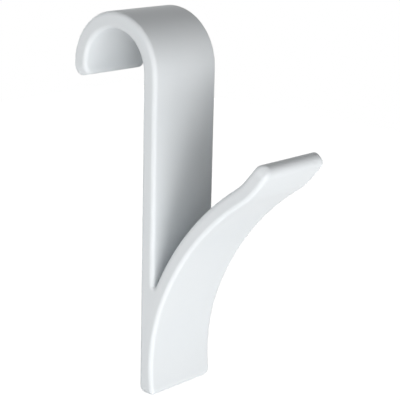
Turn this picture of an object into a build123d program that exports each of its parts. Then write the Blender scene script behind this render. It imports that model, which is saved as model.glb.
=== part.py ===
from build123d import *
from math import asin, cos, degrees, radians, sin
import os

# Hook for a round radiator tube, moulded in one piece.
# X runs along the tube, -Y is the front, +Z is up; the origin is on the tube's axis at mid width.
# All sizes are in millimetres and degrees.

# Clip and strap
tube_diameter = 25.0
wall = 5.3
width = 27.6
grip_angle = 14.4          # how far the clip wraps below the axis at the back
foot_depth = 102.3         # tube axis to the lower end

# Arm
arm_thickness = 5.1
plumb_height = 10.1        # lower end to the level where the arm's front wall runs straight up
foot_bend_radius = 57.0    # front wall of the arm's lower bend
foot_bend_angle = 22.0
arm_radius = 85.8          # front wall of the long sweep
arm_angle = 33.4
lip_bend_radius = 14.0     # back wall of the reverse bend under the lip
lip_bend_angle = 12.3
lip_radius = 74.0          # back wall of the lip, which curves on up to its half-round end
lip_angle = 5.6

# Roundings
notch_radius = 0.55        # foot of the gap between strap and arm
tip_round = 1.6            # clip tip and foot, seen from the side
foot_round = 2.2
tip_corner_radius = 4.2    # corners of the three free ends, seen from the front
lip_corner_radius = 3.8
foot_corner_radius = 3.4
corner_angle = 65.0        # turn of each of those corners
edge_radius = 1.4          # along every long edge

tube_radius = tube_diameter / 2
strap_front = tube_radius + wall
arm_back_radius = arm_radius + arm_thickness
lip_bend_front_radius = lip_bend_radius + arm_thickness
lip_front_radius = lip_radius + arm_thickness
side_plane = Plane(origin=(0, 0, 0), x_dir=(0, -1, 0), z_dir=(-1, 0, 0))

# The foot's bend carries on below its plumb level, so the front wall flares out a little at the end.
flare = asin(plumb_height / foot_bend_radius)
foot_front = (strap_front + foot_bend_radius * (1 - cos(flare)), -foot_depth)

with BuildPart() as towel_hook:
    with BuildSketch(side_plane) as profile:
        with BuildLine() as outline:
            foot_bend = JernArc(
                foot_front, (-sin(flare), cos(flare)), foot_bend_radius, -degrees(flare) - foot_bend_angle
            )
            arm_sweep = JernArc(foot_bend @ 1, foot_bend % 1, arm_radius, -arm_angle)
            lip_front_bend = JernArc(arm_sweep @ 1, arm_sweep % 1, lip_bend_front_radius, lip_bend_angle)
            lip_front = JernArc(lip_front_bend @ 1, lip_front_bend % 1, lip_front_radius, lip_angle)
            lip_end = JernArc(lip_front @ 1, lip_front % 1, arm_thickness / 2, 180)
            lip_back = JernArc(lip_end @ 1, lip_end % 1, lip_radius, -lip_angle)
            lip_back_bend = JernArc(lip_back @ 1, lip_back % 1, lip_bend_radius, -lip_bend_angle)
            notch_lean = degrees(asin((arm_sweep.arc_center.X - strap_front) / arm_back_radius))
            arm_back_angle = notch_lean - 90 + foot_bend_angle + arm_angle
            arm_back = JernArc(lip_back_bend @ 1, lip_back_bend % 1, arm_back_radius, arm_back_angle)
            strap_face = Line(arm_back @ 1, (strap_front, 0))
            clip_outside = CenterArc((0, 0), strap_front, 0, 180 + grip_angle)
            clip_inside = CenterArc((0, 0), tube_radius, 0, 180 + grip_angle)
            tip_end = Line(clip_outside @ 1, clip_inside @ 1)
            strap_back = Line((tube_radius, 0), (tube_radius, -foot_depth))
            foot_end = Line((tube_radius, -foot_depth), foot_front)
        make_face()
        rounds = [
            (arm_back @ 1, notch_radius),
            (tip_end @ 0, tip_round),
            (tip_end @ 1, tip_round),
            (foot_end @ 0, foot_round),
            (foot_end @ 1, foot_round),
        ]
        for point, radius in rounds:
            fillet(profile.vertices().sort_by_distance(point)[0], radius=radius)
    extrude(amount=width / 2, both=True)

    # Corners of the free ends: each end plane lies across the width, with its Y pointing off the end
    ends = [
        (tip_end @ 0.5, clip_outside % 1, tip_corner_radius),
        (lip_end @ 0.5, lip_front % 1, lip_corner_radius),
        (foot_end @ 0.5, strap_back % 1, foot_corner_radius),
    ]
    for point, heading, corner_radius in ends:
        end_middle = side_plane.from_local_coords(point)
        off_end = side_plane.from_local_coords(heading)
        end_plane = Plane(origin=end_middle, x_dir=(1, 0, 0), z_dir=Vector(1, 0, 0).cross(off_end))
        arc_start = corner_radius * sin(radians(corner_angle))
        with BuildSketch(end_plane):
            with BuildLine():
                corner = CenterArc((width / 2 - corner_radius, -arc_start), corner_radius, 0, corner_angle)
                Polyline(corner @ 1, (width / 2, corner_radius), (width, -arc_start), corner @ 0)
            make_face()
            mirror(about=Plane.YZ)
        extrude(amount=wall, both=True, mode=Mode.SUBTRACT)

    # The edges of each side face run round the end corners as one smooth loop
    arm_middle = side_plane.from_local_coords(arm_sweep @ 0.5)
    side_edges = towel_hook.edges().sort_by_distance(arm_middle + Vector(width / 2, 0, 0))[:1]
    side_edges += towel_hook.edges().sort_by_distance(arm_middle - Vector(width / 2, 0, 0))[:1]
    fillet(side_edges, radius=edge_radius)

towel_hook.part.label = "towel_hook"

os.makedirs("parts", exist_ok=True)
export_step(towel_hook.part, "parts/towel_hook.step")
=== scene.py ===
import math

import bpy
from mathutils import Matrix, Vector

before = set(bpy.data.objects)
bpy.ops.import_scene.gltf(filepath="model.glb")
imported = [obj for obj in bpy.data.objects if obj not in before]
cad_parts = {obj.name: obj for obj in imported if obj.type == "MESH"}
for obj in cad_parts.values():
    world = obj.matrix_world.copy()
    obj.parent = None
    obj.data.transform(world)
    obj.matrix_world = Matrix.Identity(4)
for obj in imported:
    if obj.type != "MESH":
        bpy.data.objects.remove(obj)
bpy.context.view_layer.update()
scene = bpy.context.scene

# Sizes are in metres, angles in degrees. An azimuth of 0 is straight in front of the hook,
# -90 is on its near side and 180 is behind it.
HOOK_MIDDLE = Vector((0.0, -0.020, -0.050))

# White plastic: the two ends of its drift in colour and in roughness.
# A noise between NOISE_LOW and NOISE_HIGH goes from one end to the other.
NOISE_LOW, NOISE_HIGH = 0.3, 0.7
COOLER_WHITE = (0.838, 0.872, 0.893, 1.0)
LIGHTER_WHITE = (0.856, 0.886, 0.903, 1.0)
SMOOTHER, DULLER = 0.47, 0.53

# Floor and surround: what the camera sees of them, and the fill that falls on the hook
PURE_WHITE = (1.0, 1.0, 1.0, 1.0)
SURROUND_WHITE = 1.0
SURROUND_FILL = 0.138
FLOOR_LEVEL = -1.50
FLOOR_HALF = 6.0
FLOOR_PAINT = (0.8, 0.8, 0.8, 1.0)
FLOOR_DULLNESS = 0.9
FLOOR_GLOW = 0.95

# Lamps: name, azimuth, elevation, size across, watts
LAMP_DISTANCE = 0.7
LAMPS = (
    ("key_lamp", -35.0, -23.0, 0.27, 1.66),
    ("front_lamp", -45.0, 2.0, 0.28, 0.89),
    ("low_lamp", -11.5, -23.5, 0.37, 1.86),
    ("level_lamp", -10.0, 0.0, 0.30, 0.41),
    ("side_lamp", -97.0, 0.0, 0.15, 0.87),
    ("edge_lamp", -140.0, 50.0, 0.30, 0.91),
    ("rear_lamp", 175.0, 5.0, 0.60, 1.5),
    ("far_lamp", 105.0, -11.0, 0.40, 1.0),
)

# Camera: the two offsets put the hook in its place in the frame.
# Sensor and lens are in millimetres.
CAMERA_AZIMUTH = -48.169
CAMERA_ELEVATION = 14.932
CAMERA_ROLL = 1.356
CAMERA_DISTANCE = 0.421442
CAMERA_OFFSET_RIGHT = 0.003577
CAMERA_OFFSET_UP = 0.009979
SENSOR_WIDTH = 36.0
LENS = 121.5
NEAREST_SEEN = 0.01


def direction(azimuth, elevation):
    """Unit vector from the hook towards a place round it."""
    a, e = math.radians(azimuth), math.radians(elevation)
    return Vector((math.sin(a) * math.cos(e), -math.cos(a) * math.cos(e), math.sin(e)))


def node(tree, kind, **inputs):
    """A new node with plain values on the named inputs."""
    made = tree.nodes.new(kind)
    for name, value in inputs.items():
        made.inputs[name.replace("_", " ")].default_value = value
    return made


def white_plastic():
    """Smooth white moulded plastic: a cool white that drifts a little, with a faint mould skin."""
    material = bpy.data.materials.new("white_plastic")
    material.use_nodes = True
    tree = material.node_tree
    tree.nodes.clear()
    link = tree.links.new
    place = tree.nodes.new("ShaderNodeTexCoord").outputs["Object"]

    # Slow drift of the white where the melt flowed
    flow = node(tree, "ShaderNodeTexNoise", Scale=45.0, Detail=3.0, Roughness=0.5)
    tone = tree.nodes.new("ShaderNodeValToRGB")
    low_end, high_end = tone.color_ramp.elements
    low_end.position, low_end.color = NOISE_LOW, COOLER_WHITE
    high_end.position, high_end.color = NOISE_HIGH, LIGHTER_WHITE

    # Patches of the skin that came off the mould a little duller
    bloom = node(tree, "ShaderNodeTexNoise", Scale=160.0, Detail=2.0, Roughness=0.5)
    dullness = node(
        tree, "ShaderNodeMapRange",
        From_Min=NOISE_LOW, From_Max=NOISE_HIGH, To_Min=SMOOTHER, To_Max=DULLER,
    )

    # Fine ripple of the moulded skin
    skin = node(tree, "ShaderNodeTexNoise", Scale=700.0, Detail=2.0, Roughness=0.4)
    relief = node(tree, "ShaderNodeBump", Strength=0.06, Distance=0.0002)

    plastic = node(tree, "ShaderNodeBsdfPrincipled", IOR=1.45, Specular_IOR_Level=0.2)
    output = tree.nodes.new("ShaderNodeOutputMaterial")
    for texture in (flow, bloom, skin):
        link(place, texture.inputs["Vector"])
    link(flow.outputs["Fac"], tone.inputs["Fac"])
    link(tone.outputs["Color"], plastic.inputs["Base Color"])
    link(bloom.outputs["Fac"], dullness.inputs["Value"])
    link(dullness.outputs["Result"], plastic.inputs["Roughness"])
    link(skin.outputs["Fac"], relief.inputs["Height"])
    link(relief.outputs["Normal"], plastic.inputs["Normal"])
    link(plastic.outputs["BSDF"], output.inputs["Surface"])
    return material


def seen_directly(tree):
    """1 for rays from the camera or by way of gloss or glass, 0 for the light that falls."""
    path = tree.nodes.new("ShaderNodeLightPath")
    value = path.outputs["Is Camera Ray"]
    for name in ("Is Glossy Ray", "Is Transmission Ray"):
        either = tree.nodes.new("ShaderNodeMath")
        either.operation = "MAXIMUM"
        tree.links.new(value, either.inputs[0])
        tree.links.new(path.outputs[name], either.inputs[1])
        value = either.outputs["Value"]
    return value


def white_surround():
    """Studio white all round, which lights the hook only as a soft fill."""
    world = bpy.data.worlds.new("white_surround")
    world.use_nodes = True
    tree = world.node_tree
    level = node(tree, "ShaderNodeMapRange", To_Min=SURROUND_FILL, To_Max=SURROUND_WHITE)
    tree.links.new(seen_directly(tree), level.inputs["Value"])
    shown = tree.nodes["Background"]
    shown.inputs["Color"].default_value = PURE_WHITE
    tree.links.new(level.outputs["Result"], shown.inputs["Strength"])
    scene.world = world


def pale_floor():
    """A plain pale floor, well below the hook, that looks as white as the surround."""
    material = bpy.data.materials.new("pale_floor")
    material.use_nodes = True
    tree = material.node_tree
    paint = tree.nodes["Principled BSDF"]
    paint.inputs["Base Color"].default_value = FLOOR_PAINT
    paint.inputs["Roughness"].default_value = FLOOR_DULLNESS
    paint.inputs["Specular IOR Level"].default_value = 0.0
    paint.inputs["Emission Color"].default_value = PURE_WHITE
    glow = node(tree, "ShaderNodeMapRange", To_Min=0.0, To_Max=FLOOR_GLOW)
    tree.links.new(seen_directly(tree), glow.inputs["Value"])
    tree.links.new(glow.outputs["Result"], paint.inputs["Emission Strength"])
    mesh = bpy.data.meshes.new("floor")
    square = ((-1, -1), (1, -1), (1, 1), (-1, 1))
    corners = [(x * FLOOR_HALF, y * FLOOR_HALF, FLOOR_LEVEL) for x, y in square]
    mesh.from_pydata(corners, [], [(0, 1, 2, 3)])
    mesh.materials.append(material)
    floor = bpy.data.objects.new("floor", mesh)
    scene.collection.objects.link(floor)


def soft_lamp(name, azimuth, elevation, across, watts):
    """A round soft lamp that faces the middle of the hook."""
    light = bpy.data.lights.new(name, "AREA")
    light.shape = "DISK"
    light.size = across
    light.energy = watts
    lamp = bpy.data.objects.new(name, light)
    scene.collection.objects.link(lamp)
    towards = direction(azimuth, elevation)
    turn = towards.to_track_quat("Z", "Y").to_matrix().to_4x4()
    lamp.matrix_world = Matrix.Translation(HOOK_MIDDLE + towards * LAMP_DISTANCE) @ turn
    lamp.visible_camera = False


def photo_camera():
    """The photograph's view: from the front and the near side, a little above."""
    towards = direction(CAMERA_AZIMUTH, CAMERA_ELEVATION)
    level_right = Vector((0, 0, 1)).cross(towards).normalized()
    right = Matrix.Rotation(math.radians(CAMERA_ROLL), 3, towards) @ level_right
    up = towards.cross(right)
    data = bpy.data.cameras.new("photo_camera")
    data.sensor_width = SENSOR_WIDTH
    data.lens = LENS
    data.clip_start = NEAREST_SEEN
    camera = bpy.data.objects.new("photo_camera", data)
    scene.collection.objects.link(camera)
    offset = right * CAMERA_OFFSET_RIGHT + up * CAMERA_OFFSET_UP
    spot = HOOK_MIDDLE + towards * CAMERA_DISTANCE + offset
    turn = Matrix((right, up, towards)).transposed().to_4x4()
    camera.matrix_world = Matrix.Translation(spot) @ turn
    scene.camera = camera


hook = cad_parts["towel_hook"]
hook.data.materials.clear()
hook.data.materials.append(white_plastic())

white_surround()
pale_floor()
for lamp_values in LAMPS:
    soft_lamp(*lamp_values)
photo_camera()
scene.view_settings.view_transform = "Standard"
